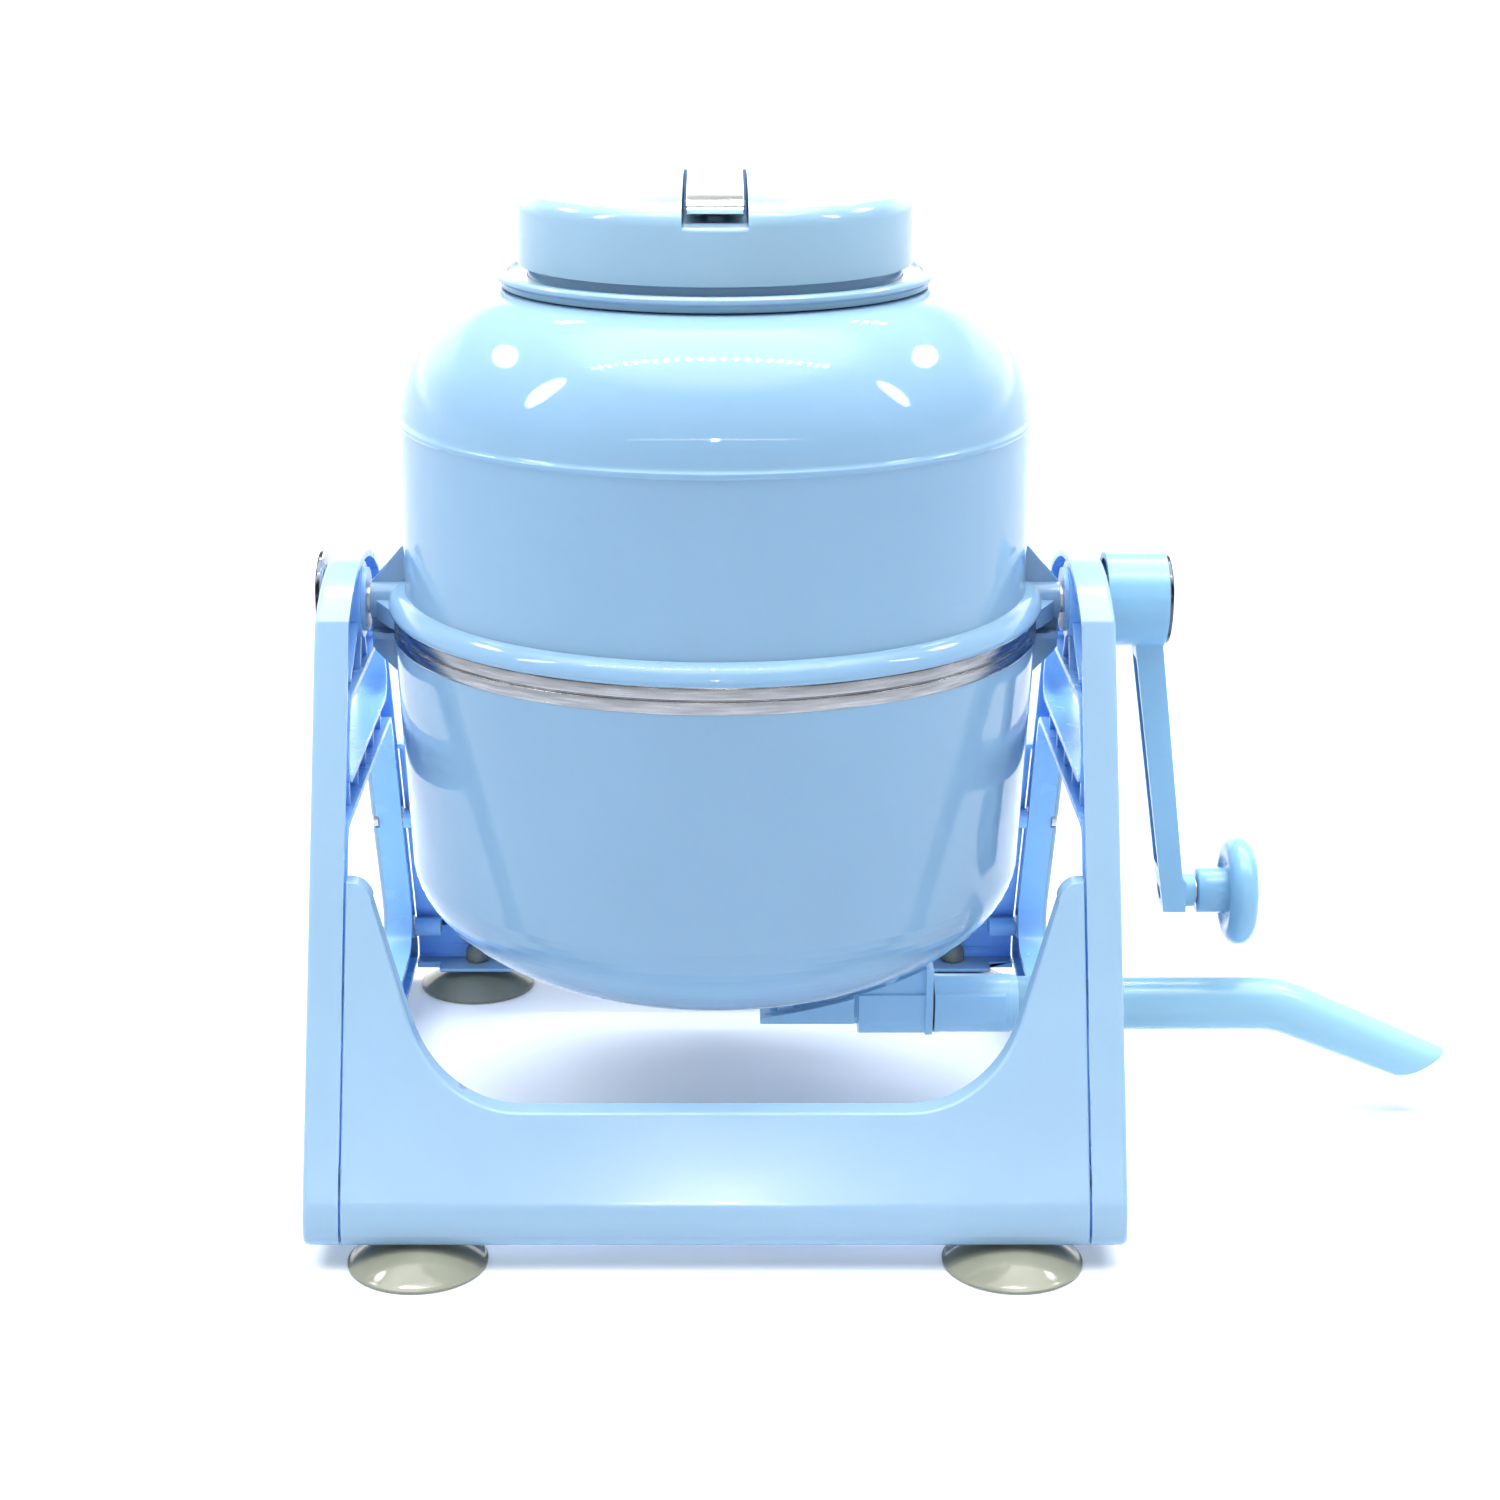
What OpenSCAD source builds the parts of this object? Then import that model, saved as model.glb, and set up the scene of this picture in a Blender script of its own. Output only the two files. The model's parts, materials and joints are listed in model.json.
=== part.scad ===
// Hand-crank washing machine: a tumbling drum on trunnions between two A-shaped side frames.
// X runs from the blind trunnion (-) to the crank (+), Y from the front (-) to the rear (+).
// The origin is on the floor under the middle of the drum.

/* [Stand] */
// Width over the two side frames
stand_w = 312; // [308:1:330]
// Thickness of each side frame
frame_t = 13.5; // [12:0.5:16]
// Height of the trunnion axis above the floor
axis_z = 225; // [222:1:230]
// Half depth of the frames at the foot
foot_y = 149.3; // [148:0.1:152]
// Lean of the legs, as inward travel per unit of height
lean = 0.4757; // [0.46:0.001:0.49]
// Height of the underside of the frames
base_z = 9; // [8.5:0.5:10]
// Width of a leg measured level, along Y
leg_w = 13.8; // [12:0.2:17]
// Height of the top of the bottom rail
rail_top = 26; // [24:0.5:30]
// Height of the underside of the crossbar
bar_lo = 151.5; // [146:0.5:154]
// Height of the top of the crossbar
bar_hi = 168; // [164:0.5:172]
// Height of the bottom of the U cut in the panels
u_bottom = 57.7; // [54:0.1:60]
// Half width of the straight bottom of the U cut
u_half = 73.6; // [70:0.1:76]
// Wall of the moulded frames and panels
wall = 2.6; // [2.2:0.1:3]

/* [Feet] */
// Distance of each suction cup from the middle, along X
foot_x = 113.5; // [108:0.5:118]
// Distance of each suction cup from the middle, along Y
cup_y = 140.5; // [139:0.1:140.8]
// Radius of a suction cup's rim
cup_r = 26.8; // [24:0.2:28]

/* [Drum] */
// Outer radius of the lower tub at the steel band
tub_r = 130; // [129:0.1:131]
// Outer radius of the upper shell
shell_r = 125.2; // [124:0.1:125.4]
// Height of the bottom of the tub
tub_floor = 66; // [64:0.5:68]
// Height of the bead where the shell's dome begins
bead_z = 301.8; // [298:0.2:305]
// Height of the top of the dome
dome_z = 352.6; // [350:0.2:354]
// Inner radius of the neck
neck_r = 70; // [69.8:0.1:70.4]
// Wall of the tub and the shell
drum_wall = 2.6; // [2.2:0.1:3]

/* [Lid] */
// Outer radius of the lid
lid_r = 77.3; // [77:0.1:78]
// Height of the lid's lower edge
lid_lo = 361.7; // [361:0.1:362.2]
// Height of the lid's crest
lid_top = 396; // [395.5:0.1:397]
// Width of the clamp lever
lever_w = 21.4; // [20:0.2:23]
// Drop of the pressure plate as the lever stands up
plate_drop = 2.9; // [2:0.1:3]

/* [Crank] */
// Length of the crank from the axle to the knob
crank_len = 126; // [118:1:130]
// Radius of the knob's disc
knob_r = 22.8; // [21:0.2:24]
// Radius of the crank's hub
hub_r = 19.2; // [17:0.2:20]

/* [Drain] */
// Height of the drain tube's centre
tube_z = 48; // [47:0.2:49]
// Outer radius of the drain tube
tube_r = 11.3; // [10.8:0.1:11.5]
// Bore radius of the drain tube
tube_bore = 9.3; // [8.5:0.1:9.5]
// Downward turn of the tube's end in degrees
tube_turn = 23; // [18:1:26]

/* [Hidden] */
$fn = 96;
fx = stand_w / 2;             // outer face of a side frame
fi = fx - frame_t;            // inner face of a side frame
px = fi - 0.7;                // end of a panel
arch_r = 94;                  // radius of the frame's arched top
arch_z = axis_z + 18 - arch_r;
shaft_r = 5.5;                // trunnion shafts
bush_r = 9.5;                 // outside of the bushes
ring_lo = 225;                // joint between the tub and the shell
ring_hi = 233;                // top edge of the trunnion ring
boss_x = 139.5;               // outer end of the trunnion bosses
joint_z = 214.2;              // lower edge of the steel band
waist_z = 122;                // where the tub's side turns into its bottom
waist_r = tub_r - 4.5;
dome_c = 82;                  // radius at which the dome runs out
neck_top = 378;
pin_z = 388.2;                // lever pin
cam_shut = 6.9;
cam_open = cam_shut - plate_drop;
pocket_z = pin_z - cam_shut - 0.55;
chan_z = 383;
knob_z = axis_z - crank_len;
valve_x = 52;                 // drain valve
stem_r = 1.85;                // valve stem
chan_w = lever_w + 3.1;       // width of the lever's channel
shoe_end = 91.7;              // outlet face of the drain shoe
bend_r = 45;
con_r = 12.4;                 // outside of the tube's connector
bend_x = 229.8;

sky = [0.55, 0.76, 0.93];
sky_dark = [0.36, 0.55, 0.82];
steel = [0.66, 0.66, 0.68];
chrome = [0.82, 0.83, 0.85];
cup_col = [0.86, 0.85, 0.66, 0.8];
rubber_col = [0.25, 0.27, 0.32];

// ---------- helpers ----------
function unit(v) = v / norm(v);
// A closed outline with each corner i rounded to radius r[i]
function rounded(p, r, n = 7) = [
  for (i = [0 : len(p) - 1])
    let (a = p[(i + len(p) - 1) % len(p)], b = p[i], c = p[(i + 1) % len(p)],
         u = unit(a - b), v = unit(c - b),
         half = acos(max(-1, min(1, u * v))) / 2,
         t = r[i] / tan(half), m = unit(u + v), o = b + m * r[i] / sin(half),
         p0 = b + u * t, p1 = b + v * t,
         a0 = atan2(p0[1] - o[1], p0[0] - o[0]), a1 = atan2(p1[1] - o[1], p1[0] - o[0]),
         d = a1 - a0, dd = d > 180 ? d - 360 : (d < -180 ? d + 360 : d))
    if (r[i] <= 0) b else
      each [for (k = [0 : n]) let (g = a0 + dd * k / n) o + r[i] * [cos(g), sin(g)]]
];
function arc(c, r, a0, a1, n) = [for (i = [0 : n]) let (g = a0 + (a1 - a0) * i / n) c + r * [cos(g), sin(g)]];
// Quarter of a superellipse from the rim (angle 0) to the crown (angle 90)
function superq(cx, cz, a, b, e, dir, n) = [for (i = [0 : n]) let (g = 90 * i / n)
  [cx + a * pow(cos(g), 2 / e), cz + dir * b * pow(sin(g), 2 / e)]];

// A 2-D outline in (y, z), raised along X from x0 to x1
module along_x(x0, x1) translate([x0, 0, 0]) rotate([90, 0, 90]) linear_extrude(x1 - x0) children();
// A 2-D outline in (x, z), raised along Y from y0 to y1
module along_y(y0, y1) translate([0, y1, 0]) rotate([90, 0, 0]) linear_extrude(y1 - y0) children();
module rod_x(x0, x1, r, y = 0, z = axis_z, fn = 96) translate([x0, y, z]) rotate([0, 90, 0]) cylinder(h = x1 - x0, r = r, $fn = fn);
module cone_x(x0, x1, r0, r1, y = 0, z = axis_z) translate([x0, y, z]) rotate([0, 90, 0]) cylinder(h = x1 - x0, r1 = r0, r2 = r1);
module ring(r0, r1, z0, z1) translate([0, 0, z0]) difference() {
  cylinder(h = z1 - z0, r = r1, $fn = 160);
  translate([0, 0, -1]) cylinder(h = z1 - z0 + 2, r = r0, $fn = 160);
}

// ---------- side frames ----------
function leg_y(z, d = 0) = foot_y + 0.7 - (z - 20) * lean - d;
// Where a leg's line, drawn in by k, meets the arch of radius r: the angle about the arch's centre
function arch_end(r, k) = let (b = leg_y(arch_z, k), q = 1 + lean * lean,
  w = (b * lean + sqrt(b * b * lean * lean - q * (b * b - r * r))) / q) atan2(w, b - lean * w);
// Outline of the frame, drawn in by d all round
module frame_outline(d = 0) {
  k = d * sqrt(1 + lean * lean);
  r = arch_r - d;
  g = arch_end(r, k);
  z1 = 20 + (0.7 + d - k) / lean;
  half = rounded([[0, base_z + d], [foot_y - d, base_z + d], [foot_y - d, z1], [leg_y(180, k), 180]], [0, max(5.5 - d, 0.5), 30 - d, 0]);
  polygon(concat(
    [for (i = [1 : len(half) - 2]) half[i]],
    [for (i = [0 : 32]) let (a = g + (180 - 2 * g) * i / 32) [r * cos(a), arch_z + r * sin(a)]],
    [for (i = [len(half) - 2 : -1 : 1]) [-half[i][0], half[i][1]]]));
}
// The two openings of the A, grown by d all round
module frame_openings(d = 0) {
  k = leg_w * 1 - d * sqrt(1 + lean * lean);
  polygon(rounded([
    [leg_y(rail_top - d, k), rail_top - d], [leg_y(bar_lo + d, k), bar_lo + d],
    [-leg_y(bar_lo + d, k), bar_lo + d], [-leg_y(rail_top - d, k), rail_top - d]],
    [14 + d, 9 + d, 9 + d, 14 + d]));
  polygon(rounded([
    [leg_y(bar_hi - d, k), bar_hi - d], [leg_y(196 + d, k), 196 + d],
    [-leg_y(196 + d, k), 196 + d], [-leg_y(bar_hi - d, k), bar_hi - d]],
    [6 + d, 9 + d, 9 + d, 6 + d]));
}
// Screw places of the panels, as (y, z)
screw_at = [[135, 31], [103, 96], [-135, 31], [-103, 96]];

// The right frame as drawn; the left one is its mirror image
module side_frame(rest) {
  difference() {
    union() {
      along_x(fi, fx) difference() { frame_outline(); frame_openings(); }
      // guide that the drain tube and its connector slide through
      if (rest) difference() {
        along_x(fi, fx) polygon(rounded([[-24, rail_top - 1], [24, rail_top - 1], [17.5, tube_z + 4], [-17.5, tube_z + 4]], [0, 0, 1, 1]));
        rod_x(fi - 1, fx + 1, con_r + 1.6, 0, tube_z);
        translate([fi - 1, -con_r - 1.6, tube_z]) cube([frame_t + 2, 2 * con_r + 3.2, 30]);
      }
    }
    // hollow of the moulding, open towards the drum
    difference() {
      along_x(fi - 1, fx - wall) difference() { frame_outline(wall); frame_openings(wall); }
      // hub, screw pillars and stiffening ribs stay
      rod_x(fi - 2, fx, 15.5);
      for (s = screw_at) rod_x(fi - 2, fx, 5.6, s[0], s[1]);
      for (g = [-62, -22, 22, 62]) translate([fi + 1.2, 0, axis_z]) rotate([g, 0, 0]) translate([0, -1, -48]) cube([frame_t, 2, 48]);
      for (y = [-52, -26, 0, 26, 52]) translate([fi + 2, y - 1, bar_lo - 2]) cube([frame_t, 2, bar_hi - bar_lo + 4]);
      for (y = [-100, -72, -48, -24, 24, 48, 72, 100]) translate([fi + 2, y - 1, 5]) cube([frame_t, 2, 24]);
      for (m = [-1, 1]) for (z = [58, 128]) translate([fi + 2, m * leg_y(z, 7) - 12, z]) cube([frame_t, 24, 2]);
      for (m = [-1, 1]) for (z = [182]) translate([fi + 2, m * leg_y(z, 7) - 12, z]) cube([frame_t, 24, 2]);
    }
    rod_x(fi - 1, fx + 1, bush_r);
    // screw holes with sunk heads in the outer face
    for (s = screw_at) {
      rod_x(fi - 1, fx + 1, 2.2, s[0], s[1], 32);
      rod_x(fx - 3, fx + 1, 4.4, s[0], s[1], 48);
    }
  }
}
module right_side_frame() color(sky) side_frame(true);
module left_side_frame() color(sky) mirror([1, 0, 0]) side_frame(false);

// ---------- panels ----------
function u_curve() = let (r = 45.4, c = [u_half, u_bottom + r])
  concat(arc(c, r, -90, -20.5, 14), [[132.2, 130.2]], arc([140.2, 127.7], 8.9, 163, 95, 5));
module panel_face() {
  h = concat([[0, u_bottom]], u_curve());
  polygon(concat([[px + 1, 136.6], [px + 1, 0], [-px - 1, 0], [-px - 1, 136.6]],
    [for (i = [len(h) - 1 : -1 : 0]) [-h[i][0], h[i][1]]], h));
}
// The front panel as drawn; the rear one is its mirror image
module end_panel() {
  difference() {
    union() {
      intersection() {
        along_x(-px, px) difference() {
          frame_outline(0);
          frame_outline(wall + 0.4);
          translate([-70, 0]) square([400, 400]);
          // the shell stops short of a floor of its own
          translate([-foot_y + 12, 0]) square([400, base_z + 6]);
        }
        along_y(-200, 0) panel_face();
      }
      // inward lip along the cut
      intersection() {
        along_x(-px, px) polygon([[-leg_y(40, 2), 40], [-leg_y(150, 2), 150], [-leg_y(150, 9), 150], [-leg_y(40, 9), 40]]);
        along_y(-200, 0) difference() {
          panel_face();
          translate([0, -2.4]) panel_face();
        }
      }
      // feet ledges
      for (m = [-1, 1]) intersection() {
        translate([m * foot_x - 17, -foot_y, base_z]) cube([34, 21, 3]);
        along_x(-px, px) frame_outline(1);
      }
      // screw bosses at both ends, tied to the shell by a rib
      for (m = [-1, 1]) for (s = [screw_at[2], screw_at[3]]) {
        rod_x(m > 0 ? px - 12 : -px, m > 0 ? px : -px + 12, 4.6, s[0], s[1], 48);
        intersection() {
          translate([m > 0 ? px - 12 : -px, s[0] - 16, s[1] - 1.2]) cube([12, 16, 2.4]);
          along_x(-px, px) frame_outline(1);
        }
      }
      // stiffening ribs behind the face
      for (x = [-84, -28, 28, 84]) along_x(x - 1.1, x + 1.1) polygon([
        [-foot_y + 2, base_z + 7.5], [-foot_y + 2, 19], [-leg_y(u_bottom - 4, 2), u_bottom - 4], [-leg_y(u_bottom - 4, 8), u_bottom - 4], [-foot_y + 9, base_z + 7.5]]);
    }
    for (m = [-1, 1]) {
      for (s = [screw_at[2], screw_at[3]]) rod_x(m > 0 ? px - 11 : -px - 1, m > 0 ? px + 1 : -px + 11, 1.9, s[0], s[1], 32);
      translate([m * foot_x, -cup_y, base_z - 1]) cylinder(h = 5, r = 4.4, $fn = 48);
    }
  }
}
module front_panel() color(sky) end_panel();
module rear_panel() color(sky) mirror([0, 1, 0]) end_panel();

module panel_screws() color(steel)
  for (m = [0, 1]) mirror([m, 0, 0]) for (s = screw_at) {
    rod_x(px - 10.5, fx - 2.8, 1.9, s[0], s[1], 32);
    difference() {
      rod_x(fx - 2.8, fx - 0.5, 3.8, s[0], s[1], 48);
      translate([fx - 1.6, s[0] - 2.6, s[1] - 0.5]) cube([3, 5.2, 1]);
      translate([fx - 1.6, s[0] - 0.5, s[1] - 2.6]) cube([3, 1, 5.2]);
    }
  }

// ---------- bushes ----------
module bush() difference() {
  union() {
    rod_x(fi - 1.8, fx + 0.1, bush_r);
    rod_x(fi - 1.8, fi, 13);
    rod_x(fx, fx + 1.2, 13.5);
  }
  rod_x(fi - 3, fx + 3, shaft_r + 0.06);
}
module right_bush() color(sky_dark) bush();
module left_bush() color(sky_dark) mirror([1, 0, 0]) bush();

// ---------- feet ----------
module suction_cup(x, y) color(cup_col) translate([x, y, 0]) rotate_extrude($fn = 120) polygon(concat(
  [[0, 6.2]],
  arc([0, -49.75], 55.95, 86, 64, 8),
  [[cup_r - 1.2, 0], [cup_r, 0], [cup_r, 0.9]],
  arc([0, -39.6], 48.4, 56.8, 81.5, 8),
  [[5.6, 8.4], [4.2, 8.9], [4.2, 12.3], [5.5, 12.7]],
  arc([0, 15.6], 5.5, 0, 90, 8)));
module foot_front_left() suction_cup(-foot_x, -cup_y);
module foot_front_right() suction_cup(foot_x, -cup_y);
module foot_rear_left() suction_cup(-foot_x, cup_y);
module foot_rear_right() suction_cup(foot_x, cup_y);

// ---------- drum ----------
function tub_side(d) = [[tub_r - d, joint_z], [tub_r - d - 1.2, 190], [tub_r - d - 2.9, 156], [waist_r - d, waist_z]];
function tub_bottom(d) = superq(0, waist_z, waist_r - d, waist_z - tub_floor - d, 2.08, -1, 30);
function tub_out(r) = waist_z - (waist_z - tub_floor) * pow(1 - pow(r / waist_r, 2.08), 1 / 2.08);
module lower_tub() color(sky) difference() {
  union() {
    rotate_extrude($fn = 180) polygon(concat(
      [[tub_r - 4, 221.5], [tub_r - 1, 221.5], [tub_r - 1, joint_z]],
      tub_side(0), [for (i = [1 : 30]) tub_bottom(0)[i]],
      [for (i = [30 : -1 : 1]) tub_bottom(drum_wall)[i]],
      [for (i = [3 : -1 : 0]) tub_side(drum_wall)[i]], [[tub_r - 4, joint_z + 3]]));
    // level seat round the drain holes
    intersection() {
      translate([valve_x, 0, 62]) cylinder(h = seat_z - 62, r = 13.2);
      rotate_extrude($fn = 180) polygon(concat([[0, 160], [waist_r - 0.6, 160]], [for (i = [0 : 30]) tub_bottom(0.6)[i]]));
    }
  }
  translate([valve_x, 0, 60]) {
    cylinder(h = 30, r = stem_r + 0.07, $fn = 48);
    for (g = [0 : 60 : 300]) rotate([0, 0, g]) translate([4.9, 0, 0]) cylinder(h = 30, r = 1.5, $fn = 24);
  }
  // holes of the shoe's screws
  for (p = shoe_screw_at) translate([p[0], p[1], 60]) cylinder(h = 30, r = 1.6, $fn = 32);
}
seat_z = tub_out(valve_x) + 6.3;
shoe_screw_at = [[30, 8], [30, -8], [74, 8], [74, -8]];

module upper_shell() color(sky) rotate_extrude($fn = 180) polygon(concat(
  [[shell_r - drum_wall, 222.5], [tub_r - 1, 222.5], [tub_r - 1, ring_lo], [shell_r, ring_lo],
   [shell_r, bead_z - 1], [shell_r + 0.6, bead_z - 0.6], [shell_r + 0.6, bead_z + 0.4], [shell_r - 0.3, bead_z + 1]],
  superq(dome_c, bead_z + 1, shell_r - 0.5 - dome_c, dome_z - bead_z - 1, 1.79, 1, 22),
  [[neck_r + 3.5, dome_z + 0.4], [neck_r + 3.5, neck_top - 0.8], [neck_r + 2.9, neck_top], [neck_r + 0.6, neck_top], [neck_r, neck_top - 0.8],
   [neck_r, dome_z - drum_wall]],
  [for (i = [22 : -1 : 0]) superq(dome_c, bead_z + 1, shell_r - 0.5 - drum_wall - dome_c, dome_z - bead_z - 1 - drum_wall, 1.79, 1, 22)[i]],
  [[shell_r - drum_wall, bead_z]]));

module tub_seal() color(rubber_col) ring(tub_r - 3.6, tub_r - 1.6, 221.5, 222.5);

// Drum wall that the ring's bosses are shaped to
module drum_core() {
  translate([0, 0, ring_lo]) cylinder(h = 60, r = shell_r + 0.1, $fn = 180);
  translate([0, 0, joint_z - 0.4]) cylinder(h = ring_lo - joint_z + 0.4, r = tub_r + 0.35, $fn = 180);
  rotate_extrude($fn = 180) polygon(concat([[0, joint_z], [tub_r + 0.1, joint_z]], [for (p = tub_side(-0.1)) p], [[0, waist_z]]));
}
module trunnion_ring() color(sky) difference() {
  union() {
    rotate_extrude($fn = 180) polygon([[shell_r + 0.05, ring_lo], [tub_r + 1.4, ring_lo], [tub_r + 2, ring_lo + 1], [tub_r + 2, ring_lo + 2.2],
      [tub_r + 1.3, ring_lo + 4.2], [tub_r + 0.1, ring_lo + 5.8], [tub_r - 1.4, ring_lo + 7], [tub_r - 3.1, ring_hi - 0.2], [shell_r + 0.05, ring_hi]]);
    for (m = [0, 1]) mirror([m, 0, 0]) difference() {
      union() {
        rod_x(shell_r - 3, boss_x, 8);
        // upright fin above and below the boss
        along_y(-2.2, 2.2) polygon([[shell_r - 2, 248], [shell_r + 1.4, 247.4], [boss_x - 0.6, 233.2], [boss_x, 230], [boss_x, 206], [boss_x - 1.4, 203.6], [126.2, 191.4], [124, 191.4]]);
        // cheeks that sweep the ring's edge out into the boss
        along_z_wedge();
        // cross web under the boss
        translate([shell_r - 2, -11, 211]) cube([boss_x - shell_r + 1, 22, 2.4]);
      }
      drum_core();
    }
  }
  for (m = [0, 1]) mirror([m, 0, 0]) rod_x(100, boss_x + 1, shaft_r);
}
module along_z_wedge() translate([0, 0, 219]) linear_extrude(7.5) polygon([[118, -42], [130.5, -22], [136.6, -9], [136.6, 9], [130.5, 22], [118, 42]]);

module band_trim() color(steel) rotate_extrude($fn = 180) polygon([
  [tub_r - 0.98, joint_z], [tub_r + 0.15, joint_z], [tub_r + 0.3, joint_z + 0.8], [tub_r + 0.3, joint_z + 4.4],
  [tub_r - 0.1, joint_z + 5.2], [tub_r + 0.3, joint_z + 6], [tub_r + 0.3, ring_lo - 1], [tub_r, ring_lo - 0.1], [tub_r - 0.98, ring_lo - 0.1]]);

module neck_ring() color(sky) rotate_extrude($fn = 180) polygon([
  [neck_r + 3.55, dome_z + 0.5], [83.8, dome_z + 0.5], [84.3, 355.4], [85.4, 355.9], [86.2, 356.7], [86.2, 358], [85.4, 358.9],
  [82.4, 359], [81.6, 358.3], [81.2, 357.2], [neck_r + 3.55, 357.2]]);

// ---------- trunnions ----------
module left_trunnion() color(steel) mirror([1, 0, 0]) difference() {
  rod_x(tub_r + 0.8, fx + 2.2, shaft_r);
  rod_x(fx - 16, fx + 3, 1.8, 0, axis_z, 32);
}
module left_end_cap() color(chrome) mirror([1, 0, 0]) difference() {
  translate([fx + 1.6, 0, axis_z]) rotate([0, 90, 0]) rotate_extrude($fn = 120) polygon([
    [0, 0.6], [14, 0.6], [14, 0], [19.4, 0], [20, 0.5], [20, 1.6], [19, 2.6], [14, 3.3], [6, 3.7], [0, 3.8]]);
  rod_x(fx - 1, fx + 4.2, 4.6, 0, axis_z, 48);
}
module left_axle_screw() color(steel) mirror([1, 0, 0]) {
  rod_x(fx - 15, fx + 2.3, 1.8, 0, axis_z, 32);
  rod_x(fx + 2.2, fx + 4.1, 4.4, 0, axis_z, 48);
}
module right_trunnion() color(steel) difference() {
  rod_x(tub_r + 0.8, fx + 18, shaft_r);
  // flats that drive the crank
  for (m = [-1, 1]) translate([fx + 4, m > 0 ? 4.2 : -10.2, axis_z - 10]) cube([20, 6, 20]);
  rod_x(fx + 2, fx + 19, 1.8, 0, axis_z, 32);
}

// ---------- crank ----------
module crank_arm() color(sky) difference() {
  union() {
    rod_x(fx + 1.7, fx + 26, hub_r);
    // leaning arm, a tapered bar
    along_y(-8, 8) polygon([[fx + 14, axis_z], [fx + 26, axis_z], [fx + 26, axis_z - 18.6], [fx + 38.9, knob_z + 7.6], [fx + 40.4, knob_z + 6], [fx + 40.8, knob_z - 7], [fx + 31.4, knob_z - 7], [fx + 14.6, axis_z - 17]]);
    rod_x(fx + 31.6, fx + 44.8, 7, 0, knob_z);
  }
  // hollow behind the hub and the arm's outer side
  difference() {
    rod_x(fx + 0, fx + 21.5, hub_r - wall);
    rod_x(fx + 0, fx + 22, 9.2);
    for (g = [45 : 90 : 315]) translate([fx, 0, axis_z]) rotate([g, 0, 0]) translate([0, -1.1, 0]) cube([24, 2.2, hub_r - 0.5]);
    along_y(-8, 8) polygon([[fx + 12, axis_z - 8], [fx + 26, axis_z - 8], [fx + 26, axis_z - 19], [fx + 13, axis_z - 19]]);
  }
  // D-shaped drive socket and screw hole
  difference() {
    rod_x(fx + 0, fx + 18.4, shaft_r + 0.02);
    for (m = [-1, 1]) translate([fx + 4, m > 0 ? 4.22 : -10.22, axis_z - 10]) cube([20, 6, 20]);
  }
  rod_x(fx + 17, fx + 27, 2.1, 0, axis_z, 32);
  rod_x(fx + 23.2, fx + 27, 5.2, 0, axis_z, 48);
  // knob spindle
  rod_x(fx + 30, fx + 50, 4, 0, knob_z);
  // the arm is hollow towards the drum
  along_y(-5.6, 5.6) polygon([[fx + 13.4, axis_z - 24], [fx + 23.6, axis_z - 24], [fx + 35.4, knob_z + 12], [fx + 26.4, knob_z + 12]]);
}
module crank_screw() color(steel) {
  rod_x(fx + 3, fx + 23.3, 1.8, 0, axis_z, 32);
  rod_x(fx + 23.2, fx + 25.4, 4.6, 0, axis_z, 48);
}
module crank_cap() color(chrome) difference() {
  translate([fx + 26, 0, axis_z]) rotate([0, 90, 0]) rotate_extrude($fn = 120) polygon([
    [0, 0], [17.6, 0], [18.2, 0.5], [18.2, 1.4], [16.6, 2.6], [10, 3.4], [0, 3.6]]);
}
module knob_spindle() color(steel) {
  rod_x(fx + 31.7, fx + 64.3, 4, 0, knob_z);
  rod_x(fx + 64.3, fx + 66.1, 6.2, 0, knob_z);
  rod_x(fx + 44.82, fx + 45.4, 5.2, 0, knob_z);
}
kx = fx + 45.8;               // inner end of the knob
module crank_knob() color(sky) difference() {
  translate([kx, 0, knob_z]) rotate([0, 90, 0]) rotate_extrude($fn = 120) polygon(concat(
    [[4.06, 0], [9, 0], [9.4, 0.4], [9.5, 11.8], [10.2, 13.2], [13, 13.7]],
    arc([knob_r - 5.9, 17.5], 5.9, -74, 74, 14),
    [[14, 22.9], [10.4, 22.5], [10, 22], [10, 20.3], [8.6, 20.3], [8.6, 18.1], [4.06, 18.1]]));
}
module knob_cap() color(sky) translate([kx, 0, knob_z]) rotate([0, 90, 0]) rotate_extrude($fn = 96) polygon([
  [0, 20.8], [8.2, 20.8], [8.2, 20.3], [9.95, 20.3], [9.95, 22.0], [6, 22.8], [0, 23.1]]);

// ---------- drain shoe and valve ----------
// Top of the shoe's side flanges, which dip away from the tub towards the middle
function flange_top(x) = tub_out(x) - 21.1 + 0.0877 * x;
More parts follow.
